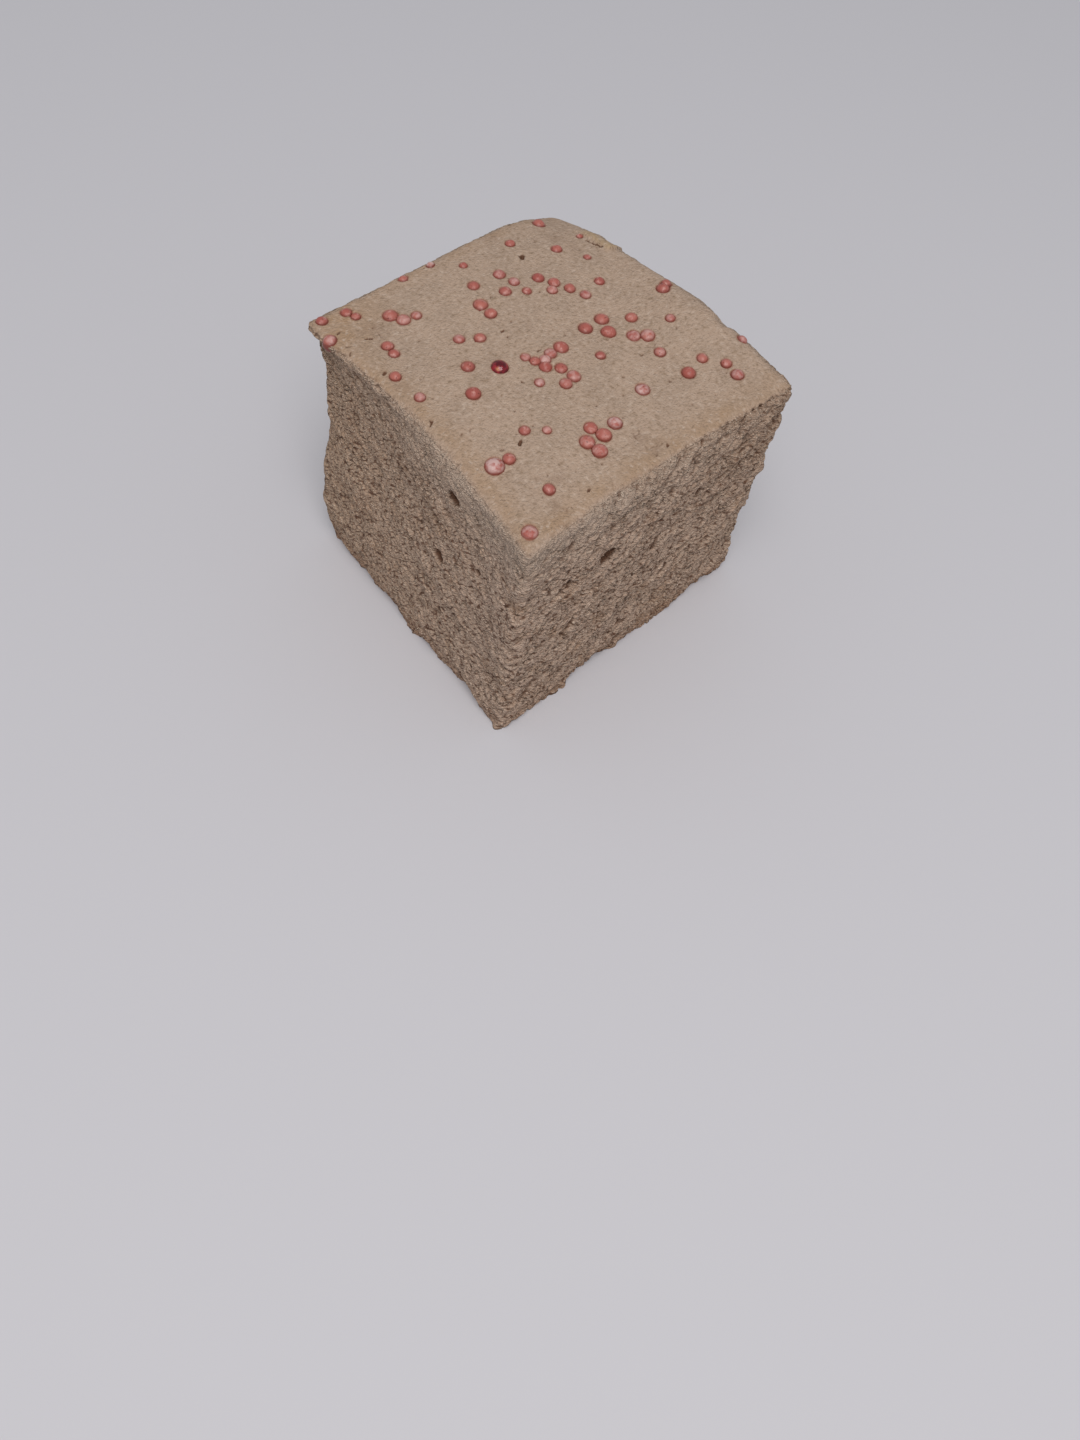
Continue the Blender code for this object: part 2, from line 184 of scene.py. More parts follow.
# Two of the top's edges drawn in midway, as a parabola along each, and one corner that juts out as a bell
def drawIn(points):
    moved = points.copy()
    depth, height = block["edgeHollow"]
    rise = np.clip((points[:, 2] - high + height) / height, 0, 1)
    x, y = points[:, 0] / half, points[:, 1] / half
    moved[:, 0] += depth * rise**2 * (1 - y**2) * (0.5 - 0.5 * x)
    moved[:, 1] += depth * rise**2 * (1 - x**2) * (0.5 - 0.5 * y)
    depth, reach, height = block["cornerLip"]
    near = np.exp(-((fromCorner(points, -1, 1) / reach) ** 2))
    moved[:, 0] -= depth * near * blend(high - height, high, points[:, 2])
    return moved


# Points with their height above the slanting layers for z
def layered(points, slopes=block["layerSlopes"]):
    turned = points.copy()
    turned[:, 2] -= points[:, :2] @ np.array(slopes)
    return turned


# Broad lumps and torn layers of the cut sides: two sizes of hills on the layered points, by how far a point
# faces sideways below the skin, less the wear of the foot, which fades out upwards
def crumbRelief(points, way):
    skinEdge = high - block["skinDepth"]
    onSide = np.hypot(way[:, 0], way[:, 1])
    onSide *= 1 - blend(skinEdge - block["skinFade"], skinEdge + block["skinFade"], points[:, 2])
    relief = np.zeros(len(points))
    for number, (depth, length, height) in enumerate((block["lumps"], block["crags"])):
        relief += depth * hills(layered(points), (length, length, height), seed + number)
    usual, change = block["footWear"]
    worn = block["footNibble"] * (usual + change * hills(points, (block["footCell"],) * 3, seed + 2))
    return relief * onSide - worn * (1 - blend(0, block["footHeight"], points[:, 2]))


# The swelling under the skin's edge, a bell along Y by the cube of the height, the S of one upright edge, a
# sine of the height, and the torn places of the edge at +X, flat-topped bells along Y
def edgeRelief(points, way):
    x, y = points[:, 0], points[:, 1]
    rise = points[:, 2] / high
    depth, length, along, start = block["edgeSwell"]
    relief = depth * rise**3 * np.exp(-(((y - along) / length) ** 2)) * blend(start, 1, x / half)
    depth, start = block["cutWave"]
    relief += depth * blend(start, 1, 0.5 + 0.25 * (y - x) / half) * np.sin(2 * math.pi * rise)
    middle, spread = block["tearBand"]
    onRoll = (way[:, 0] > 0) * rise**6 * np.exp(-(((way[:, 0] - middle) / spread) ** 2))
    for along, length, depth in block["edgeTears"]:
        relief -= depth * onRoll * np.exp(-(((y - along) / length) ** 4))
    return relief


# The main surface: the rounded cuboid plus all relief along the way it faces, drawn in and pulled at the
# corners, its top crowned as two crossed parabolas, with one corner dropped as a bell
def form(cage, finer=0):
    points, way = roundOver(cage)
    depth, cell = block["topWave"]
    relief = crumbRelief(points, way) + edgeRelief(points, way) + finer
    relief += depth * way[:, 2] * hills(points, (cell,) * 3, seed + 3)
    x, y = points[:, 0] / half, points[:, 1] / half
    drop, reach = block["backDrop"]
    dropped = drop * np.exp(-((fromCorner(points, 1, 1) / reach) ** 2))
    lift = block["topCrown"] * (1 - x**2) * (1 - y**2) - dropped
    lift *= (points[:, 2] / high) ** 3
    points = drawIn(points + relief[:, None] * way)
    points[:, 2] += lift
    return pullCorners(points)


# Points of the sharp cuboid from places on its top. What runs past an edge goes on down the side.
def topCage(places):
    kept = np.clip(places, -half, half)
    over = np.abs(places - kept).sum(axis=1)
    return np.column_stack([kept, high - over])


# Places on the main top surface, and the ways they face, from the slopes to a near point on either axis
def onTop(places):
    step = 0.5 * mm
    here = form(topCage(places))
    right = form(topCage(places + np.array([step, 0])))
    back = form(topCage(places + np.array([0, step])))
    way = np.cross(right - here, back - here)
    return here, way / np.linalg.norm(way, axis=1)[:, None]


# The sugar beads: where they lie

beads = dict(
    # x, y on the top, heading, beads, gap and turn per bead, first diameter, its growth: mm and degrees
    trails=(
        (20.4, 24.5, 0, 1, 0.0, 0, 2.4, 0.0),
        (17.1, 16.7, 136, 2, 8.1, 0, 2.1, -0.3),
        (17.6, 6.7, 65, 3, 6.2, -8, 1.8, -0.3),
        (4.1, 17.2, 286, 3, 2.9, -10, 2.2, -0.2),
        (-1.4, 17.6, 310, 2, 5.4, 0, 2.3, 0.0),
        (9.1, 12.9, 303, 4, 2.8, -3, 2.2, -0.1),
        (9.1, 9.4, 0, 1, 0.0, 0, 1.9, 0.0),
        (0.6, 22.5, 139, 3, 5.6, 39, 1.5, 0.2),
        (-3.4, 13.5, 270, 2, 2.5, 0, 2.8, -0.6),
        (24.6, -1.0, 27, 2, 1.3, 0, 2.3, -0.5),
        (-26.8, 21.8, 65, 2, 4.5, 0, 2.5, -0.5),
        (-20.8, 25.2, 290, 2, 1.7, 0, 2.0, -0.3),
        (-16.1, 20.5, 294, 3, 2.2, 54, 2.6, -0.3),
        (11.6, 0.0, 182, 3, 3.8, 132, 2.8, -0.1),
        (15.9, -2.6, 231, 2, 4.0, 0, 2.1, 0.4),
        (15.3, -7.0, 0, 1, 0.0, 0, 2.6, 0.0),
        (20.7, -6.6, 304, 2, 11.4, 0, 1.7, 0.3),
        (-11.3, 9.7, 327, 2, 3.4, 0, 2.0, 0.2),
        (-20.9, 15.4, 260, 2, 1.9, 0, 2.0, -0.1),
        (-24.5, 9.6, 272, 2, 5.6, 0, 1.9, 0.1),
        (1.3, -1.2, 0, 1, 0.0, 0, 2.7, 0.0),
        (-1.1, -1.3, 196, 4, 1.7, -39, 2.2, -0.1),
        (-3.7, -3.0, 321, 3, 2.5, -35, 2.2, 0.1),
        (-3.2, -7.4, 145, 2, 4.3, 0, 2.1, -0.3),
        (5.7, -6.0, 332, 2, 10.0, 0, 1.9, 0.2),
        (15.2, -16.5, 13, 2, 3.9, 0, 2.4, -0.5),
        (21.4, -18.5, 267, 2, 2.6, 0, 1.9, 0.3),
        (-14.2, 4.2, 323, 2, 5.2, 0, 2.6, 0.4),
        (-17.1, -0.6, 0, 1, 0.0, 0, 2.5, 0.0),
        (6.6, -15.0, 0, 1, 0.0, 0, 2.7, 0.0),
        (-14.9, -10.8, 326, 2, 3.6, 0, 2.0, -0.5),
        (-1.7, -17.6, 195, 3, 3.2, 23, 2.7, -0.1),
        (-5.7, -16.3, 218, 2, 2.8, 0, 2.3, 0.4),
        (-20.1, -13.3, 171, 2, 2.7, 0, 2.1, 1.1),
        (-18.2, -21.0, 0, 1, 0.0, 0, 2.1, 0.0),
        (-25.1, -24.8, 0, 1, 0.0, 0, 2.7, 0.0),
    ),
    sink=(0.3, 0.55),  # how deep the centre lies, as a share of the radius
    darkPlace=(-10.1, 1.1),  # mm: the bead nearest to it is the dark glossy one
    segments=24,
    rings=16,
    wrinkles=((0.06, 0.9), (0.025, 0.35)),  # depth and cell, as shares of the radius
    unlike=7.3,  # how far along the hills each bead's wrinkles lie from the last one's
    flattening=(0.94, 1.08),  # height over width
    leaning=0.8,  # a bead that faces along X by more than this takes its first axis from Y
    footShadeBand=0.3,  # the painted shade at a bead's foot reaches this far above the skin, as a share of its radius
    dustMost=0.5,  # the most dust, partly a painted highlight, that a draw gives, and the power that makes much of it rare
    dustRare=3,
    dustFull=0.8,  # the dust and painted highlight are full where a bead faces up by this much
    dustedOnes=(  # mm: the beads nearest to these places are paler with dust and painted highlight, by this much
        (6.6, -14.9, 0.8),
        (-6.6, -4.9, 0.6),
        (-2.6, -1.6, 0.7),
        (-22.5, -12.2, 0.95),
        (-1.5, -17.1, 0.8),
        (-2.9, 27.9, 0.9),
        (-25.1, -24.8, 0.5),
    ),
    glint=((0.35, -0.6, 0.72), 0.975, 0.995),  # the painted highlight on the dark bead: its way out, where it starts and is full
)


# Each bead's place on the top and its radius, in metres, trail by trail
def beadPlaces():
    places = []
    for x, y, heading, count, gap, turn, diameter, growth in beads["trails"]:
        for _ in range(count):
            places.append((x * mm, y * mm, diameter / 2 * mm))
            x += gap * math.cos(math.radians(heading))
            y += gap * math.sin(math.radians(heading))
            heading += turn
            diameter += growth
    return np.array(places)


# Each bead's place, radius and sink. The second draw of each is the spin of its facets in the solid.
def beadDraws():
    draw = np.random.RandomState(seed)
    places = beadPlaces()
    rows = np.array([draw.uniform(0, 1, 2) for _ in places])
    low, top = beads["sink"]
    sinks = (low + (top - low) * rows[:, 0]) * places[:, 2]
    return places[:, :2], places[:, 2], sinks


# Fine relief: torn crumb on the cut sides, skin on top

crumb = dict(
    slopes=(0.5, 0.55),  # the fine layers climb this steeply along X and along Y
    bend=(0.8 * mm, 5 * mm),  # they wave by this much, over this distance
    warp=(0.26 * mm, 1.0 * mm),  # finer wandering of everything below
    ridges=(0.22 * mm, 2.0 * mm, 0.85 * mm),  # depth, length, height
    grains=(0.17 * mm, 0.7 * mm, 0.4 * mm),
    cracks=(  # depth, length and height of a cell, how thin, then cell and limits of where they open
        (0.34 * mm, 2.4 * mm, 0.8 * mm, 0.17, 2.2 * mm, (-0.05, 0.3)),
        (0.26 * mm, 1.4 * mm, 0.6 * mm, 0.2, 1.4 * mm, (-0.1, 0.3)),
    ),
    cells=(  # depth, length, height, chance, sizes in boxes
        (0.55 * mm, 2.6 * mm, 1.4 * mm, 0.14, (0.1, 0.3)),
        (0.45 * mm, 1.8 * mm, 1.1 * mm, 0.6, (0.12, 0.3)),
    ),
    coarser=(0.62, 0.84, 1.0),  # the side at -Y is torn more deeply: by how much, where it starts and is full
    calmCorner=(0.35, 12 * mm, (14 * mm, 36 * mm)),  # at -X -Y: how much weaker, how far out, at what heights
    weakest=0.4,  # the share of the relief just under the skin, near that corner
    calmReach=42 * mm,  # how far from the corner the relief under the skin is weak and greyer
    hiddenCalm=(-0.95, -0.6),  # it is so again along +X and +Y, from here to here across the block
    fullAt=(-3.0 * mm, 0.3 * mm),  # the heights below the top edge where it is full and weakest
    flaps=(0.5 * mm, 1.7 * mm, 2.2 * mm),  # the foot is ragged: how far, over what length, up to what height
    footWarmAndShade=(0.5 * mm, 5.5 * mm, 0.4),  # the foot is warmer, and darker with painted shade, up to these heights, least at -X -Y
    frontFrom=0.8,  # the front begins at this share of the half width towards -Y
    frontPaler=0.7,  # the crumb's painted light and shade change less along the front
    paintedFrontShade=(0.45, 24 * mm, 42 * mm),  # painted shade: the front is darker at its upper end at +X: by how much, at what heights
    openPores=(  # side counted round from -Y, then mm: along it, height, length
        (0, -10.2, 33.4, 3.6),
        (0, 9.8, 33.7, 2.2),
        (0, 12.3, 11.6, 2.8),
        (3, 9.9, 40.6, 3.0),
        (3, 7.6, 26.2, 3.0),
        (3, -0.5, 23.1, 2.0),
        (3, 8.5, 14.0, 2.0),
        (3, -24.9, 16.3, 1.4),
        (3, 16.8, 30.9, 1.3),
        (3, 17.9, 22.1, 1.5),
        (3, 4.5, 18.6, 1.2),
        (3, 9.0, 5.8, 1.4),
        (3, 17.4, 27.8, 1.2),
        (0, 0.1, 29.6, 1.3),
        (0, 1.0, 15.4, 1.2),
        (0, 2.5, 44.2, 1.1),
        (0, 14.0, 34.4, 1.3),
        (0, -17.8, 32.9, 1.2),
        (0, -16.3, 43.7, 1.0),
        (0, -7.9, 23.8, 1.3),
        (0, 0.7, 33.8, 1.2),
    ),
    hiddenPores=5,  # on each of the other sides, drawn from the ranges below, in mm
    poreAlong=(-21, 21),
    poreHeights=(7, 38),
    poreLengths=(1.8, 3.2),
    poreShares=(0.52, 0.38, 0.5),  # half length, half height and depth over the length
    poreRag=(0.4, 0.6 * mm),  # how much the rim wanders, and over what distance
    poreFloor=0.6,  # the lower this power, the flatter a pore's floor and the steeper its walls
    pitFloor=0.7,  # the same for the cracks and the small cells
    basePits=(0.02 * mm, 0.03),  # the underside's: the least depth that shows, and the smooth band at the rim
)
skin = dict(
    edge=0.55 * mm,  # how far inside the sharp edge the skin ends
    edgeRag=((0.45 * mm, 3.6 * mm), (0.35 * mm, 1.0 * mm)),  # how far its end wanders, over what distance
    edgeWidth=0.6 * mm,  # half the width over which it fades into the crumb
    edgeWider=(1.1 * mm, 26 * mm),  # near the corner at -X -Y: by how much, within what distance
    thickness=0.05 * mm,  # how far the skin stands above the crumb
    grain=((0.1 * mm, 5.0 * mm), (0.04 * mm, 1.7 * mm), (0.016 * mm, 0.45 * mm)),  # depth, cell
    pocks=(0.22 * mm, 4.0 * mm, 0.3, (0.03, 0.075)),  # depth, box, chance of one in it, sizes in boxes
    fibres=(0.12 * mm, 1.6 * mm, 0.9 * mm, 0.07, 1.8 * mm, (0.3, 0.6)),  # as for the crumb's cracks
    marks=(  # mm: one end, the way to the other end, half width, depth
        (10.4, 18.4, 0.3, 0.2, 0.5, 1.0),
        (-17.0, -12.2, 0.4, 0.3, 0.36, 0.6),
        (-4.5, 7.0, 0.4, 0.1, 0.22, 0.4),
        (-4.7, 5.3, 0.3, 0.2, 0.22, 0.25),
        (-1.9, 0.3, -0.4, 0.2, 0.24, 0.4),
        (6.9, 10.1, 0.2, 0.2, 0.22, 0.3),
        (-1.0, 13.7, 0.2, 0.2, 0.22, 0.3),
        (-12.5, 25.4, 0.1, 0.5, 0.2, 0.25),
        (8.7, -3.5, 0.5, -0.4, 0.2, 0.25),
        (19.8, -8.9, 0.2, 0.1, 0.22, 0.3),
        (11.4, -9.4, 0.6, -0.1, 0.2, 0.25),
        (-1.9, 7.7, 0.1, 0.1, 0.24, 0.2),
        (-8.8, -13.8, 0.3, 0.1, 0.3, 0.15),
        (5.7, -11.3, 0.2, 0.0, 0.2, 0.25),
        (11.5, -16.2, 0.1, 0.2, 0.2, 0.25),
        (2.3, -25.5, 0.2, 0.0, 0.24, 0.3),
        (-26.5, -1.2, 0.7, 0.5, 0.26, 0.35),
        (-23.6, -5.4, 0.4, 0.2, 0.2, 0.25),
        (-22.0, -5.8, 0.3, 0.3, 0.22, 0.25),
        (-20.2, -11.4, 0.5, -0.1, 0.24, 0.25),
        (-21.9, -14.6, 0.5, -0.3, 0.3, 0.12),
        (-13.3, -24.7, 0.3, 0.1, 0.28, 0.3),
        (-25.7, 11.1, 0.8, 0.2, 0.22, 0.4),
        (-9.1, -3.3, 0.2, -0.2, 0.2, 0.2),
        (-22.3, 18.7, 0.9, -0.5, 0.16, 0.3),
        (-24.8, 22.1, 0.7, 0.2, 0.18, 0.3),
        (-25.8, 19.1, 0.6, -0.3, 0.18, 0.25),
        (-26.9, 17.3, 0.8, 0.3, 0.18, 0.25),
        (-27.8, 11.6, 0.2, 0.0, 0.3, 0.35),
        (-27.3, 19.8, 0.3, -0.3, 0.35, 0.15),
        (23.6, 16.0, 0.8, -3.2, 0.16, 0.8),
    ),
    markRag=(0.5, 0.7 * mm),  # how much a long mark's depth comes and goes, and over what distance
    markFull=1.4,  # its depth is cut off at full where this times the change passes 1
    markLong=(1, 2),  # mm: marks as short as the first don't come and go, those past the second do fully
    markWander=(0.2 * mm, 0.45 * mm),  # how far its outline wanders, and over what distance
    curl=(0.6 * mm, (23.9 * mm, 25.0 * mm), (11.4 * mm, 12.0 * mm, 16.5 * mm, 20.0 * mm)),  # height, X, Y
    curlDown=(-2.2 * mm, -0.8 * mm),  # the curl fades out between these heights under the top edge
    rim=(0.05 * mm, 0.4 * mm, 0.22 * mm),  # the lip pushed up round a bead: height, how far out, width
    moat=(0.1 * mm, 0.0 * mm, 0.17 * mm),  # the same of the dip at its edge: depth, how far out, width
    dyeAndContactShade=(0.0 * mm, 0.14 * mm),  # where the dark ring round a bead lies, outside its edge, and how widely: partly its dye, partly painted contact shade
    warmEdges=(1.5 * mm, 6.5 * mm, 0.8),  # the reach of the warmer tint from the -X and -Y edges, its share
    backCooler=1.5 * mm,  # the warm tint of the +Y edge reaches this much less far
    warmCorner=(6 * mm, 17 * mm),  # the same, from the corner at -X +Y
    warmPatches=(0.4, 1.7 * mm),  # how much the warm tint comes and goes, and over what distance
    greyMost=0.75,  # the share of the grey where it is strongest
    greyBand=(-11 * mm, -0.5 * mm),  # the crumb just under the skin is greyer down to these heights
)


# How far inside the sharp top edge a point is: positive on the top, negative down a side
def inset(cage):
    onTopFace = np.minimum(half - np.abs(cage[:, 0]), half - np.abs(cage[:, 1]))
    return np.where(cage[:, 2] >= high, onTopFace, cage[:, 2] - high)


# 1 on the skin and 0 on the crumb: an S-shaped step at the skin's edge, which two sizes of hills shift to and
# fro, and which widens as a bell towards one corner
def skinShare(cage, points):
    wander = sum(d * hills(points, (c,) * 3, seed + 10 + n) for n, (d, c) in enumerate(skin["edgeRag"]))
    edge, (wider, reach) = skin["edge"], skin["edgeWider"]
    width = skin["edgeWidth"] + wider * np.exp(-((fromCorner(cage, -1, -1) / reach) ** 2))
    return blend(edge - width, edge + width, inset(cage) + wander)


# The seeded and the named open pores, as (side, along, height, length) in mm
def openPores():
    draw = np.random.RandomState(seed + 1)
    places = list(crumb["openPores"])
    for side in (1, 2):
        for _ in range(crumb["hiddenPores"]):
            along = draw.uniform(*crumb["poreAlong"])
            height = draw.uniform(*crumb["poreHeights"])
            places.append((side, along, height, draw.uniform(*crumb["poreLengths"])))
    return places


# The depth of the open pores at each point: half ellipsoids along the torn layers, with wandering rims
def poreDepth(cage):
    amount, cell = crumb["poreRag"]
    rag = amount * hills(cage, (cell,) * 3, seed + 20)
    depth = np.zeros(len(cage))
    longShare, highShare, deepShare = crumb["poreShares"]
    for side, along, height, length in openPores():
        turn = side * math.pi / 2
        out = np.array([math.sin(turn), -math.cos(turn), 0])
        level = np.array([math.cos(turn), math.sin(turn), 0])
        run = level + np.array([0, 0, level[:2] @ np.array(block["layerSlopes"])])
        run /= np.linalg.norm(run)
        across = np.cross(run, out)
        away = cage - (out * half + level * along * mm + np.array([0, 0, height * mm]))
        u = away @ run / (longShare * length * mm)
        v = away @ across / (highShare * length * mm)
        w = away @ out / (deepShare * length * mm)
        inside = np.clip(1 - u**2 - v**2 - w**2 + rag, 0, 1)
        depth = np.maximum(depth, deepShare * length * mm * inside ** crumb["poreFloor"])
    return depth


# Thin lines where smooth hills cross zero, kept only where another, wider set of hills is high: from 0 to 1
def crackLines(q, points, length, height, thin, opening, limits, which):
    line = 1 - np.abs(hills(q, (length, length, height), which)) / thin
    share = blend(*limits, hills(points, (opening,) * 3, which + 1))
    return np.clip(line, 0, 1) ** crumb["pitFloor"] * share


# The torn crumb, in metres out of the side: ridges, grains, cracks and pits, drawn out along the layers
def tornCrumb(points):
    bend, reach = crumb["bend"]
    q = layered(points, crumb["slopes"])
    q[:, 2] += bend * hills(points, (reach,) * 3, seed + 21)
    shift, cell = crumb["warp"]
    q += shift * np.stack([hills(points, (cell,) * 3, seed + 25 + axis) for axis in range(3)], axis=1)
    total = np.zeros(len(points))
    for number, (depth, length, height) in enumerate((crumb["ridges"], crumb["grains"])):
        total += depth * hills(q, (length, length, height), seed + 22 + number)
    for number, (depth, *line) in enumerate(crumb["cracks"]):
        total -= depth * crackLines(q, points, *line, seed + 40 + 3 * number)
    for number, (depth, length, height, *rest) in enumerate(crumb["cells"]):
        found = pits(q, (length, length, height), *rest, seed + 30 + 200 * number)
        total -= depth * found ** crumb["pitFloor"]
    depth, cell, height = crumb["flaps"]
    return total + depth * hills(points, (cell,) * 3, seed + 35) * (1 - blend(0, height, points[:, 2]))


# Short grooves of half round section: depth is the root of 1 less the square of the way from the mark's line
def markDepth(cage):
    change, cell = skin["markRag"]
    ragged = 1 - change + change * hills(cage, (cell,) * 3, seed + 57)
    shift, cell = skin["markWander"]
    drift = np.stack([hills(cage, (cell,) * 3, seed + 58 + axis) for axis in (0, 1)], axis=1)
    flat = cage[:, :2] + shift * drift
    depth = np.zeros(len(cage))
    for x, y, alongX, alongY, width, deep in skin["marks"]:
        start, line = np.array([x, y]) * mm, np.array([alongX, alongY]) * mm
        away = flat - start
        reached = np.clip(away @ line / (line @ line + 1e-12), 0, 1)
        away = np.linalg.norm(away - reached[:, None] * line, axis=1) / (width * mm)
        long = blend(*skin["markLong"], np.linalg.norm(line) / mm)
        kept = 1 - long + long * np.clip(skin["markFull"] * ragged, 0, 1)
        depth = np.maximum(depth, deep * mm * np.clip(1 - away**2, 0, 1) ** 0.5 * kept)
    return depth


# The strip of skin that curls up along the edge at +X: a rise across X by a rise and a fall along Y, which
# fades out down the side
def curledStrip(cage):
    height, (foot, top), (start, full, fading, end) = skin["curl"]
    x, y = cage[:, 0], cage[:, 1]
    lip = height * blend(foot, top, x) * blend(start, full, y) * (1 - blend(fading, end, y))
    return lip * blend(*skin["curlDown"], inset(cage))


# The skin, in metres above the form: a soft grain, small pocks, fibres, named marks, and a lip and a moat
# round each bead, and at each point the share of the dark ring round a bead: partly dye, partly painted shade
def skinRelief(cage, points):
    total = np.full(len(points), skin["thickness"])
    for number, (depth, cell) in enumerate(skin["grain"]):
        total += depth * hills(points, (cell,) * 3, seed + 49 + number)
    flat = cage * np.array([1, 1, 0])
    depth, cell, chance, sizes = skin["pocks"]
    total -= depth * pits(flat, (cell,) * 3, chance, sizes, seed + 60, flatten=True)
    depth, *line = skin["fibres"]
    total -= depth * crackLines(flat, flat, *line, seed + 66)
    total -= markDepth(cage)
    height, at, width = skin["rim"]
    moatDepth, moatAt, moatWidth = skin["moat"]
    ringAt, ringWidth = skin["dyeAndContactShade"]
    dyeAndContactShade = np.zeros(len(points))
    places, radii, sinks = beadDraws()
    for (x, y), radius in zip(places, np.sqrt(radii**2 - sinks**2)):
        away = np.hypot(cage[:, 0] - x, cage[:, 1] - y) - radius
        total += height * np.exp(-(((away - at) / width) ** 2))
        total -= moatDepth * np.exp(-(((away - moatAt) / moatWidth) ** 2))
        dyeAndContactShade = np.maximum(dyeAndContactShade, np.exp(-((np.clip(away - ringAt, 0, None) / ringWidth) ** 2)))
    return total, dyeAndContactShade


# How warm the skin's tint is: it falls from 1 with the distance from two edges and one corner, in patches
def warmth(cage, points):
    toEdge = np.minimum(np.minimum(cage[:, 0], cage[:, 1]) + half, half - cage[:, 1] + skin["backCooler"])
    low, top, most = skin["warmEdges"]
    atCorner = 1 - blend(*skin["warmCorner"], fromCorner(cage, -1, 1))
    amount = np.maximum(most * (1 - blend(low, top, toEdge)), atCorner)
    change, cell = skin["warmPatches"]
    return amount * (1 - change + change * hills(points, (cell,) * 3, seed + 65))


# 1 on the side at -Y and 0 off it
def onFront(points):
    return blend(crumb["frontFrom"], 1, -points[:, 1] / half)


# How much painted shade darkens the crumb at the front's upper end: it rises along the front's +X half and
# with height
def frontShadeShare(points):
    amount, low, top = crumb["paintedFrontShade"]
    return amount * onFront(points) * blend(0, 1, points[:, 0] / half) * blend(low, top, points[:, 2])


# The finished surface over points of the sharp cuboid: the skin's relief by the skin's share and the crumb's
# by the rest, with the values that the material reads
def finishedSurface(cage):
    points, _ = roundOver(cage)
    share = skinShare(cage, points)
    depth = inset(cage)
    away = fromCorner(cage, -1, -1)
    hidden = blend(*crumb["hiddenCalm"], cage[:, :2].min(axis=1) / half)
    calm = np.maximum(np.exp(-((away / crumb["calmReach"]) ** 2)), hidden)
    strength = 1 - (1 - crumb["weakest"]) * calm * blend(*crumb["fullAt"], depth)
    more, start, full = crumb["coarser"]
    strength *= 1 + more * blend(start, full, -cage[:, 1] / half)
    less, reach, heights = crumb["calmCorner"]
    strength *= 1 - less * np.exp(-((away / reach) ** 2)) * blend(*heights, cage[:, 2])
    torn = tornCrumb(points) * strength
    pores = poreDepth(cage)
    smooth, dyeAndContactShade = skinRelief(cage, points)
    lip = curledStrip(cage)
    finer = lip + share * smooth + (1 - share) * (torn - pores)
    sunk = share * (skin["thickness"] - smooth) + (1 - share) * (pores - torn)
    # Painted light and shade: 0 at the corner at -X -Y, where the crumb is painted lighter, up to 1 towards
    # +X +Y, where it is painted darker
    far = np.clip((points[:, 0] + points[:, 1]) / (2 * half) + 1, 0, 1)
    # The foot's warm tint and painted shade, least near the corner at -X -Y
    low, top, least = crumb["footWarmAndShade"]
    footTintAndShade = (1 - blend(low, top, points[:, 2])) * (least + (1 - least) * far)
    values = dict(
        skinShare=share,
        sunk=sunk / mm,
        # on the crumb this carries the foot's warm tint and painted shade
        warmth=share * warmth(cage, points) + (1 - share) * footTintAndShade,
        curled=lip / skin["curl"][0],
        far=far * (1 - crumb["frontPaler"] * onFront(points)),
        # painted shade at the front's upper end at +X
        paintedFrontShade=frontShadeShare(points),
        dyeAndContactShade=dyeAndContactShade * share,
        greyness=skin["greyMost"] * calm * blend(*skin["greyBand"], depth) * (1 - share),
    )
    return form(cage, finer), values


# The six faces of the block, each a wedge that runs in to the block's middle

faces = dict(
    columns=284,
    rows=272,
    heart=(0, 0, 0.5 * high),
    drawn=0.98,  # the share of the piece's map that the outer face fills
)


# Puts named values on a mesh's points
def setValues(mesh, values):
    for key, value in values.items():
        layer = mesh.attributes.new(key, "FLOAT", "POINT")
        layer.data.foreach_set("value", value.astype(np.float32))


# A new object in the scene
def linked(name, data):
    made = bpy.data.objects.new(name, data)
    bpy.context.scene.collection.objects.link(made)
    return made


# A mesh from a rows by columns net and one point inside: the net, and a fan from its border in to the point
def wedge(name, points, rows, columns, values):
    ids = np.arange(rows * columns).reshape(rows, columns)
    quads = np.stack([ids[:-1, :-1], ids[:-1, 1:], ids[1:, 1:], ids[1:, :-1]], axis=-1).reshape(-1, 4)
    ring = np.concatenate([ids[0, :-1], ids[:-1, -1], ids[-1, :0:-1], ids[:0:-1, 0]])
    heart = np.full(len(ring), rows * columns)
    fans = np.stack([np.roll(ring, -1), ring, heart], axis=1)
    corners = np.vstack([points, faces["heart"]])
    mesh = bpy.data.meshes.new(name)
    mesh.from_pydata(corners.tolist(), [], quads.tolist() + fans.tolist())
    inner = np.arange(len(quads) + len(fans)) >= len(quads)
    mesh.polygons.foreach_set("use_smooth", ~inner)
    mesh.polygons.foreach_set("material_index", inner.astype(np.int32))
    setValues(mesh, {key: np.append(value, 0) for key, value in values.items()})
    across, up = np.meshgrid(np.linspace(0, 1, columns), np.linspace(0, 1, rows))
    place = np.column_stack([across.ravel(), up.ravel()]) * faces["drawn"]
    place = np.vstack([place, (1, 1)])
    corner = np.empty(len(mesh.loops), np.int32)
    mesh.loops.foreach_get("vertex_index", corner)
    drawn = mesh.uv_layers.new(name="OFBake")
    drawn.uv.foreach_set("vector", place[corner].astype(np.float32).ravel())
    mesh.update()
    return linked(name, mesh)


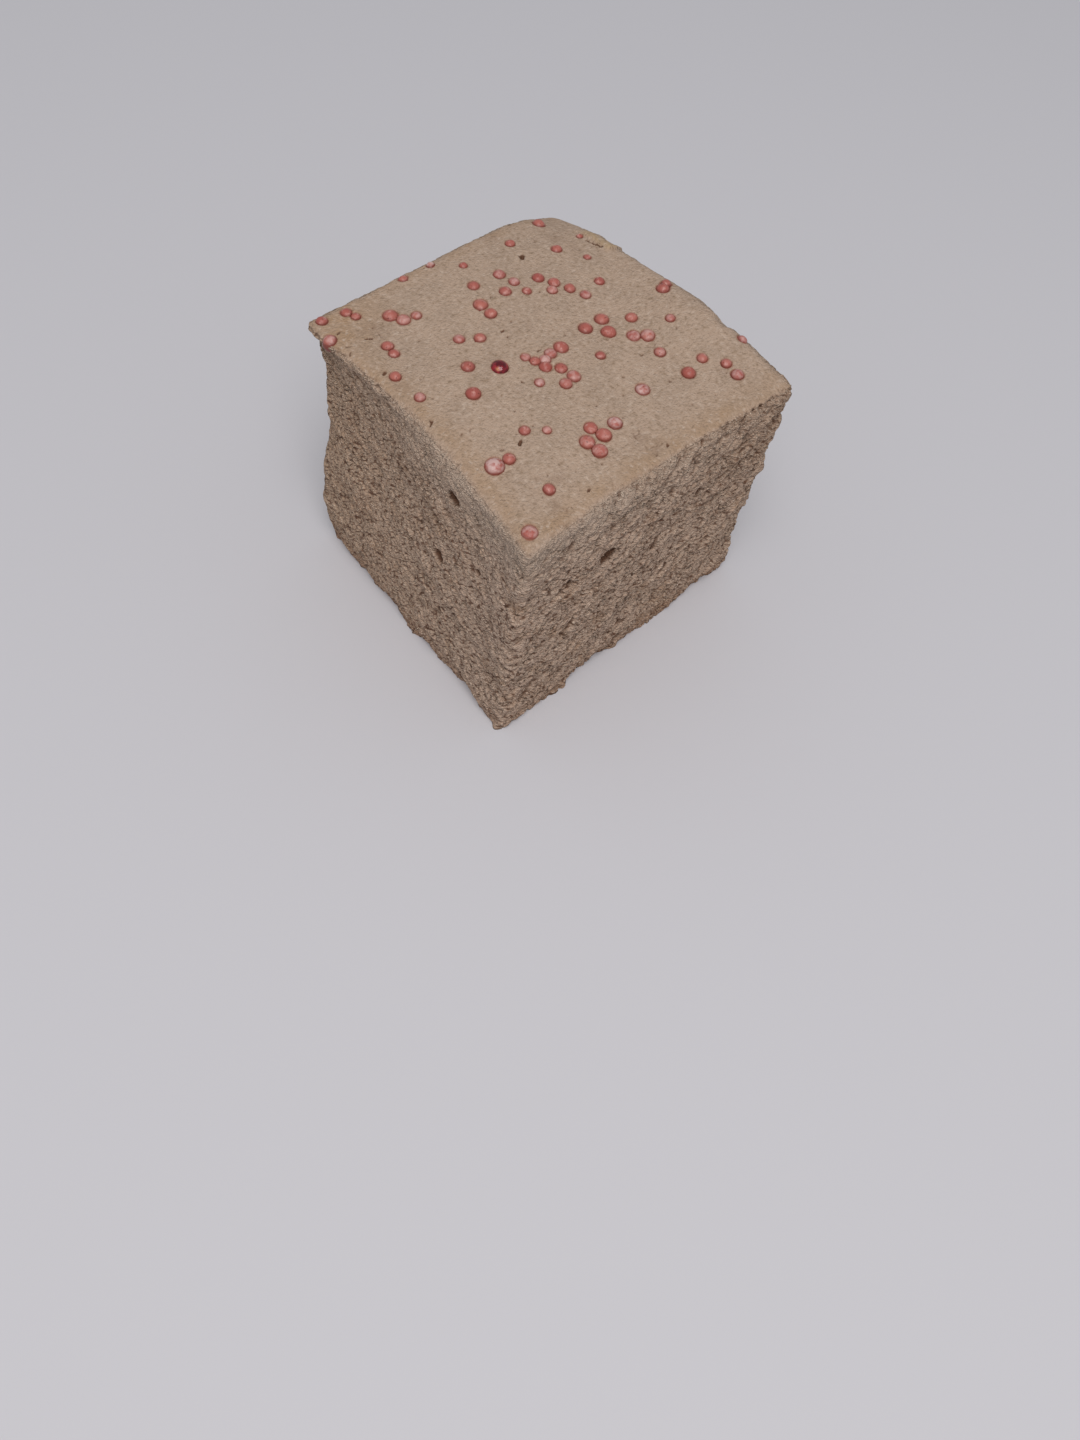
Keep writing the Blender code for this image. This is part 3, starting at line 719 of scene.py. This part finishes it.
# A side: level places along it and heights, turned round to its quarter
def sideCage(quarter, rows, columns):
    along, height = np.meshgrid(np.linspace(-half, half, columns), np.linspace(0, high, rows))
    flat = np.stack([along.ravel(), np.full(along.size, -half), height.ravel()], axis=1)
    turn = quarter * math.pi / 2
    c, s = round(math.cos(turn)), round(math.sin(turn))
    return flat @ np.array([[c, s, 0], [-s, c, 0], [0, 0, 1]])


# A cut side: the finished surface over it, cut off flat at the foot
def makeSide(name, quarter):
    rows, columns = faces["rows"], faces["columns"]
    points, values = finishedSurface(sideCage(quarter, rows, columns))
    points[:columns, 2] = 0
    return wedge(name, points, rows, columns, values)


# The top: the finished surface over a square net at full height
def makeTop(name):
    size = faces["columns"]
    across, deep = np.meshgrid(np.linspace(-half, half, size), np.linspace(-half, half, size))
    cage = np.stack([across.ravel(), deep.ravel(), np.full(across.size, high)], axis=1)
    points, values = finishedSurface(cage)
    return wedge(name, points, size, size, values)


# The underside: the foot's outline shrunk ring by ring to the middle, with pits that go up into the block
def makeBase(name):
    size = faces["columns"]
    line = np.linspace(-1, 1, size)
    across, deep = np.meshgrid(line[::-1], line)
    flat = np.column_stack([across.ravel(), deep.ravel()])
    ring = np.abs(flat).max(axis=1)
    rim = np.column_stack([flat / np.maximum(ring, 1e-9)[:, None] * half, np.zeros(len(flat))])
    points, values = finishedSurface(rim)
    points *= ring[:, None]
    torn = tornCrumb(points)
    least, band = crumb["basePits"]
    up = np.clip(least - torn, 0, None) * blend(0, band, 1 - ring)
    points[:, 2] = up
    values["sunk"] = up / mm
    return wedge(name, points, size, size, values)


# The beads' meshes

# Unit directions of a round net with closed poles, and its faces: rings of even tilt, each turned evenly
def roundNet(segments, rings):
    turn = np.arange(segments) * 2 * math.pi / segments
    tilt = np.arange(1, rings) * math.pi / rings
    t, p = np.meshgrid(turn, tilt)
    body = np.stack([np.sin(p) * np.cos(t), np.sin(p) * np.sin(t), np.cos(p)], axis=-1).reshape(-1, 3)
    ways = np.vstack([body, (0, 0, 1), (0, 0, -1)])
    ids = np.arange(len(body)).reshape(rings - 1, segments)
    after = np.roll(ids, -1, axis=1)
    quads = np.stack([ids[:-1], ids[1:], after[1:], after[:-1]], axis=-1).reshape(-1, 4)
    north, south = np.full(segments, len(body)), np.full(segments, len(body) + 1)
    caps = np.vstack([np.stack([north, ids[0], after[0]], 1), np.stack([south, after[-1], ids[-1]], 1)])
    return ways, quads, caps


# The number of the bead nearest to a place on the top, in mm
def nearestBead(x, y):
    return int(np.argmin(np.hypot(*(beadPlaces()[:, :2] / mm - np.array([x, y])).T)))


# Wrinkled balls: each direction of the round net, laid along the skin's axes, times the radius and 1 plus two
# sizes of hills, around a centre sunk below the skin
def makeBeads(name, chosen):
    places, radii, sinks = beadDraws()
    surface, way = onTop(places)
    centre = surface - way * sinks[:, None]
    draw = np.random.RandomState(seed + 70)
    tones = draw.uniform(0, 1, (len(places), 3))
    low, top = beads["flattening"]
    ways, quads, caps = roundNet(beads["segments"], beads["rings"])
    aside = np.abs(way[:, :1]) > beads["leaning"]
    helper = np.where(aside, np.array([[0, 1.0, 0]]), np.array([[1.0, 0, 0]]))
    first = np.cross(helper, way)
    first /= np.linalg.norm(first, axis=1)[:, None]
    second = np.cross(way, first)
    axes = np.stack([first, second, way], axis=1)[chosen]
    squat = np.ones((len(chosen), 1, 3))
    squat[:, 0, 2] = low + (top - low) * tones[chosen, 0]
    balls = np.einsum("pk,bkj->bpj", ways, axes)
    local = np.broadcast_to(ways, (len(chosen),) + ways.shape) * squat
    size = radii[chosen][:, None, None]
    around = (balls + beads["unlike"] * np.arange(len(chosen))[:, None, None]).reshape(-1, 3)
    swell = 1 + sum(d * hills(around, (c,) * 3, seed + 71 + n) for n, (d, c) in enumerate(beads["wrinkles"]))
    swell = swell.reshape(len(chosen), -1, 1)
    solid = np.einsum("bpk,bkj->bpj", local * swell * size, axes) + centre[chosen][:, None, :]
    count = len(ways)
    shift = (np.arange(len(chosen)) * count)[:, None, None]
    faceList = (quads[None] + shift).reshape(-1, 4).tolist() + (caps[None] + shift).reshape(-1, 3).tolist()
    mesh = bpy.data.meshes.new(name)
    mesh.from_pydata(solid.reshape(-1, 3).tolist(), [], faceList)
    mesh.shade_smooth()
    facing = np.broadcast_to(ways[:, 2], (len(chosen), count))
    above = facing - (sinks / radii)[chosen][:, None]
    dustAndSheen = beads["dustMost"] * tones[:, 2] ** beads["dustRare"]
    for x, y, amount in beads["dustedOnes"]:
        dustAndSheen[nearestBead(x, y)] = amount
    toGlint, start, full = beads["glint"]
    toGlint = np.array(toGlint) / np.linalg.norm(toGlint)
    values = dict(
        tone=np.repeat(tones[chosen, 1], count),
        dustAndSheen=np.repeat(dustAndSheen[chosen], count) * blend(0, beads["dustFull"], facing).ravel(),
        # painted shade where a bead meets the skin
        foot=1 - blend(0, beads["footShadeBand"], above).ravel(),
        glint=np.tile(blend(start, full, ways @ toGlint), len(chosen)),
    )
    setValues(mesh, values)
    mesh.update()
    return linked(name, mesh)


# Materials

looks = dict(  # colours in linear red, green and blue
    # painted light near the corner at -X -Y, and painted shade away from it
    crumbLitNear=(0.525, 0.375, 0.285),
    crumbShadedFar=(0.468, 0.32, 0.222),
    # painted shade at the front's upper end
    crumbFrontShade=(0.3, 0.19, 0.125),
    # painted shade in the gaps between grains
    crumbGapShade=(0.14, 0.07, 0.043),
    crumbLight=(0.85, 0.68, 0.54),
    crumbGrey=(0.44, 0.335, 0.262),
    crumbWarm=(0.44, 0.29, 0.2),
    # the foot: a warmer tone and painted shade
    crumbFootWarmAndShade=(0.355, 0.205, 0.13),
    # painted shade in pits, pores, cracks and grooves, by depth
    recessShade=(0.15, 0.075, 0.045),
    skin=(0.462, 0.332, 0.247),
    skinWarm=(0.398, 0.254, 0.154),
    skinCurled=(0.46, 0.325, 0.205),
    skinBlotch=(0.432, 0.312, 0.233),
    skinDim=(0.32, 0.22, 0.15),
    skinSpeck=(0.54, 0.41, 0.32),
    # the dark ring round a bead: partly dye, partly painted contact shade
    dyeAndContactShade=(0.3, 0.11, 0.07),
    beadColour=(0.455, 0.137, 0.103),
    beadDeep=(0.375, 0.088, 0.068),
    beadPale=(0.56, 0.26, 0.215),
    # dust, partly a painted highlight
    beadDustAndSheen=(0.62, 0.41, 0.375),
    # dark pricks, and the painted shade at a bead's foot
    beadPrickAndFootShade=(0.2, 0.045, 0.03),
    darkBead=(0.1, 0.004, 0.008),
    darkBeadClear=(0.32, 0.02, 0.03),
    darkBeadGlint=(0.6, 0.3, 0.15),
)


# A new material, with its tree and its shader
def nodesOf(name):
    material = bpy.data.materials.new(name)
    material.use_nodes = True
    tree = material.node_tree
    shader = tree.nodes["Principled BSDF"]
    return material, tree, shader


# Adds a node, sets its plain inputs by name or number, and links those given as sockets
def add(tree, kind, inputs=None, **settings):
    made = tree.nodes.new(kind)
    for key, value in settings.items():
        setattr(made, key, value)
    for key, value in (inputs or {}).items():
        if isinstance(value, bpy.types.NodeSocket):
            tree.links.new(value, made.inputs[key])
        else:
            made.inputs[key].default_value = value
    return made


# One colour passing into another by a share, each a socket or a plain value
def mix(tree, share, first, second):
    made = tree.nodes.new("ShaderNodeMix")
    made.data_type = "RGBA"
    for socket, value in zip((made.inputs[0], made.inputs[6], made.inputs[7]), (share, first, second)):
        if isinstance(value, bpy.types.NodeSocket):
            tree.links.new(value, socket)
        elif socket.type == "RGBA":
            socket.default_value = (*value, 1)
        else:
            socket.default_value = value
    return made.outputs[2]


# An S-shaped step of a socket's value, 0 at low and 1 at top
def ramp(tree, value, low, top):
    made = add(tree, "ShaderNodeMapRange", {"Value": value, "From Min": low, "From Max": top})
    made.interpolation_type = "SMOOTHSTEP"
    return made.outputs["Result"]


def noise(tree, place, scale, detail, output="Fac"):
    inputs = {"Vector": place, "Scale": scale, "Detail": detail}
    return add(tree, "ShaderNodeTexNoise", inputs).outputs[output]


def compute(tree, operation, first, second):
    return add(tree, "ShaderNodeMath", {0: first, 1: second}, operation=operation).outputs["Value"]


# A named value of the mesh's points
def stored(tree, key):
    return add(tree, "ShaderNodeAttribute", attribute_name=key).outputs["Fac"]


def voronoi(tree, place, scale):
    return add(tree, "ShaderNodeTexVoronoi", {"Vector": place, "Scale": scale}).outputs["Distance"]


# Scales are in cells a metre, noises are (scale, detail), and pairs are where a share is 0 and where it is 1
foamLook = dict(
    drift=(650.0, 1.0),  # the noise that bends the layers
    driftReach=0.9 * mm,
    layerTurn=(-0.5, 0.46, 0.0),  # radians: how the layers lie
    layerStretch=(1.0, 1.0, 0.45),
    strands=1250.0,
    grains=2500.0,
    speck=(1500.0, 1.0),
    cloud=(210.0, 3.0),
    warm=(0.5, 0.75),  # crumb: warmer clouds, lighter grains, painted shade in the gaps between strands and in grooves by depth in mm
    light=(0.45, 0.05),
    gap=(0.42, 0.95),
    crumbRecessShade=(0.08, 0.75),
    blotch=(0.42, 0.62),  # skin: clouds, darker and lighter specks, and painted shade in grooves by depth in mm
    dimSpeck=(0.5, 0.15),
    lightSpeck=(0.5, 0.85),
    skinRecessShade=(0.04, 0.3),
    fine=(3000.0, 1.0),  # the skin's own fine bumps
    bump=0.3 * mm,
    roughness=0.9,
    specular=0.2,
)


# Crumb and skin in one: drawn-out grains from cells on bent object coordinates, laid along the layers, and
# the rest from the mesh's named values
def foamMaterial(name):
    look = foamLook
    material, tree, shader = nodesOf(name)
    place = add(tree, "ShaderNodeTexCoord").outputs["Object"]
    keys = ("skinShare", "sunk", "warmth", "dyeAndContactShade", "greyness", "curled", "far", "paintedFrontShade")
    value = {key: stored(tree, key) for key in keys}
    drift = noise(tree, place, *look["drift"], output="Color")
    bend = {0: drift, 1: (look["driftReach"],) * 3, 2: place}
    bent = add(tree, "ShaderNodeVectorMath", bend, operation="MULTIPLY_ADD").outputs["Vector"]
    lie = {"Vector": bent, "Rotation": look["layerTurn"], "Scale": look["layerStretch"]}
    layers = add(tree, "ShaderNodeMapping", lie, vector_type="TEXTURE").outputs["Vector"]
    strands = voronoi(tree, layers, look["strands"])
    grains = voronoi(tree, layers, look["grains"])
    speck = noise(tree, place, *look["speck"])
    cloud = noise(tree, place, *look["cloud"])
    # painted light towards the corner at -X -Y, painted shade away from it
    torn = mix(tree, value["far"], looks["crumbLitNear"], looks["crumbShadedFar"])
    torn = mix(tree, ramp(tree, cloud, *look["warm"]), torn, looks["crumbWarm"])
    # the foot: warmer, and darker with painted shade
    torn = mix(tree, value["warmth"], torn, looks["crumbFootWarmAndShade"])
    torn = mix(tree, value["greyness"], torn, looks["crumbGrey"])
    # painted shade at the front's upper end at +X
    torn = mix(tree, value["paintedFrontShade"], torn, looks["crumbFrontShade"])
    torn = mix(tree, ramp(tree, grains, *look["light"]), torn, looks["crumbLight"])
    # painted shade in the gaps between strands, less where the crumb is grey
    notGrey = compute(tree, "SUBTRACT", 1.0, value["greyness"])
    gapShade = compute(tree, "MULTIPLY", ramp(tree, strands, *look["gap"]), notGrey)
    torn = mix(tree, gapShade, torn, looks["crumbGapShade"])
    # painted shade in pits, pores and cracks, darker with depth
    torn = mix(tree, ramp(tree, value["sunk"], *look["crumbRecessShade"]), torn, looks["recessShade"])
    smooth = mix(tree, ramp(tree, cloud, *look["blotch"]), looks["skin"], looks["skinBlotch"])
    smooth = mix(tree, value["warmth"], smooth, looks["skinWarm"])
    smooth = mix(tree, value["curled"], smooth, looks["skinCurled"])
    smooth = mix(tree, ramp(tree, speck, *look["dimSpeck"]), smooth, looks["skinDim"])
    smooth = mix(tree, ramp(tree, speck, *look["lightSpeck"]), smooth, looks["skinSpeck"])
    # painted shade in the skin's pocks, fibres, marks and moats, darker with depth
    smooth = mix(tree, ramp(tree, value["sunk"], *look["skinRecessShade"]), smooth, looks["recessShade"])
    # the dark ring round each bead: partly dye, partly painted contact shade
    smooth = mix(tree, value["dyeAndContactShade"], smooth, looks["dyeAndContactShade"])
    colour = mix(tree, value["skinShare"], torn, smooth)
    tree.links.new(colour, shader.inputs["Base Color"])
    fine = noise(tree, place, *look["fine"])
    rough = compute(tree, "ADD", strands, grains)
    height = add(tree, "ShaderNodeMix", {0: value["skinShare"], 2: rough, 3: fine}).outputs[0]
    bump = add(tree, "ShaderNodeBump", {"Height": height, "Distance": look["bump"]}, invert=True)
    tree.links.new(bump.outputs["Normal"], shader.inputs["Normal"])
    shader.inputs["Roughness"].default_value = look["roughness"]
    shader.inputs["Specular IOR Level"].default_value = look["specular"]
    return material


# One colour all over
def plainMaterial(name, colour, rough):
    material, _, shader = nodesOf(name)
    shader.inputs["Base Color"].default_value = (*colour, 1)
    shader.inputs["Roughness"].default_value = rough
    return material


coralLook = dict(  # in the same terms
    cloud=(1300.0, 2.0),
    speck=(2900.0, 1.0),
    pale=(0.52, 0.72),  # paler streaks, dark pricks, and where the dust with its painted highlight lies
    prick=(0.36, 0.24),
    powder=(0.3, 0.6),
    bump=(0.5, 0.1 * mm),  # strength, height
    roughness=0.42,
)


# Coral sugar: each bead has its own tone and streaks, paler dust that is partly a painted highlight on top,
# and painted shade at its foot in the skin
def beadMaterial(name):
    look = coralLook
    material, tree, shader = nodesOf(name)
    place = add(tree, "ShaderNodeTexCoord").outputs["Object"]
    tone, dustAndSheen, foot = (stored(tree, key) for key in ("tone", "dustAndSheen", "foot"))
    cloud = noise(tree, place, *look["cloud"])
    speck = noise(tree, place, *look["speck"])
    colour = mix(tree, tone, looks["beadColour"], looks["beadDeep"])
    colour = mix(tree, ramp(tree, cloud, *look["pale"]), colour, looks["beadPale"])
    colour = mix(tree, ramp(tree, speck, *look["prick"]), colour, looks["beadPrickAndFootShade"])
    # dust with a painted highlight, on the parts that face up
    powder = compute(tree, "MULTIPLY", dustAndSheen, ramp(tree, cloud, *look["powder"]))
    colour = mix(tree, powder, colour, looks["beadDustAndSheen"])
    # painted shade at the bead's foot
    colour = mix(tree, foot, colour, looks["beadPrickAndFootShade"])
    tree.links.new(colour, shader.inputs["Base Color"])
    strength, lift = look["bump"]
    bump = add(tree, "ShaderNodeBump", {"Height": speck, "Strength": strength, "Distance": lift})
    tree.links.new(bump.outputs["Normal"], shader.inputs["Normal"])
    shader.inputs["Roughness"].default_value = look["roughness"]
    return material


darkLook = dict(
    cloud=(1100.0, 2.0),
    clear=(0.4, 0.65),
    roughness=0.15,
)


# Dark glossy sugar, redder where it is clear, with a painted highlight spot
def darkBeadMaterial(name):
    material, tree, shader = nodesOf(name)
    place = add(tree, "ShaderNodeTexCoord").outputs["Object"]
    cloud = noise(tree, place, *darkLook["cloud"])
    colour = mix(tree, ramp(tree, cloud, *darkLook["clear"]), looks["darkBead"], looks["darkBeadClear"])
    # painted highlight
    colour = mix(tree, stored(tree, "glint"), colour, looks["darkBeadGlint"])
    tree.links.new(colour, shader.inputs["Base Color"])
    shader.inputs["Roughness"].default_value = darkLook["roughness"]
    return material


# Making the object

foam = foamMaterial("foam")
heartFoam = plainMaterial("heartFoam", looks["crumbShadedFar"], foamLook["roughness"])
sideNames = ("cut_side_front", "cut_side_right", "cut_side_back", "cut_side_left")
pieces = [makeSide(name, quarter) for quarter, name in enumerate(sideNames)]
print("cut sides made")
pieces.append(makeTop("skin_top"))
print("top made")
pieces.append(makeBase("cut_base"))
print("base made")
for piece in pieces:
    piece.data.materials.append(foam)
    piece.data.materials.append(heartFoam)
    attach(piece, "root")
    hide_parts(node)

beadCount = len(beadPlaces())
darkOne = nearestBead(*beads["darkPlace"])
coral = makeBeads("sugar_beads", np.array([n for n in range(beadCount) if n != darkOne]))
coral.data.materials.append(beadMaterial("coralSugar"))
dark = makeBeads("dark_bead", np.array([darkOne]))
dark.data.materials.append(darkBeadMaterial("darkSugar"))
for piece in (coral, dark):
    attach(piece, "root")
    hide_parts(node)
print(beadCount, "beads made")


# Floor, light and camera

studio = dict(
    floorSize=3.0,
    floorColour=(0.622, 0.602, 0.63),
    floorRoughness=0.8,
    worldColour=(0.9, 0.95, 1.0),
    worldStrength=0.4,
    softbox=dict(
        place=(-0.275, -0.35, 0.85),
        size=0.6,
        power=5.7,
        colour=(1.0, 0.98, 0.96),
    ),
    cameraPlace=(-91.73 * mm, -96.76 * mm, 164.81 * mm),
    heading=46.337,  # degrees from +Y towards +X
    pitch=59.64,  # degrees down
    roll=7.636,
    lens=28.0,
    nearest=5 * mm,  # what lies closer to the camera isn't drawn
)


# A plain square floor under the object, which belongs to the studio
def makeFloor():
    size = studio["floorSize"] / 2
    mesh = bpy.data.meshes.new("floor")
    corners = [(-size, -size, 0), (size, -size, 0), (size, size, 0), (-size, size, 0)]
    mesh.from_pydata(corners, [], [(0, 1, 2, 3)])
    floor = linked("floor", mesh)
    floor.data.materials.append(plainMaterial("paleFloor", studio["floorColour"], studio["floorRoughness"]))


# An even pale world, and one softbox aimed at the foot of the object
def makeLight():
    world = bpy.data.worlds.new("studio")
    world.use_nodes = True
    back = world.node_tree.nodes["Background"]
    back.inputs["Color"].default_value = (*studio["worldColour"], 1)
    back.inputs["Strength"].default_value = studio["worldStrength"]
    bpy.context.scene.world = world
    box = studio["softbox"]
    lamp = bpy.data.lights.new("softbox", "AREA")
    lamp.size = box["size"]
    lamp.energy = box["power"]
    lamp.color = box["colour"]
    holder = linked("softbox", lamp)
    holder.location = box["place"]
    holder.rotation_euler = (-Vector(box["place"])).to_track_quat("-Z", "Y").to_euler()


# The camera's axes from its heading, pitch and roll, as columns of its turn
def makeCamera():
    heading, pitch, roll = (math.radians(studio[key]) for key in ("heading", "pitch", "roll"))
    level = math.cos(pitch)
    ahead = Vector((math.sin(heading) * level, math.cos(heading) * level, -math.sin(pitch)))
    across = Vector((math.cos(heading), -math.sin(heading), 0))
    upright = across.cross(ahead)
    right = math.cos(roll) * across + math.sin(roll) * upright
    up = math.cos(roll) * upright - math.sin(roll) * across
    turn = Matrix((right, up, -ahead)).transposed().to_4x4()
    data = bpy.data.cameras.new("camera")
    data.lens = studio["lens"]
    data.clip_start = studio["nearest"]
    camera = linked("camera", data)
    camera.matrix_world = Matrix.Translation(studio["cameraPlace"]) @ turn
    bpy.context.scene.camera = camera


makeFloor()
makeLight()
makeCamera()
bpy.context.scene.view_settings.view_transform = "Standard"
print("floor, light and camera made")
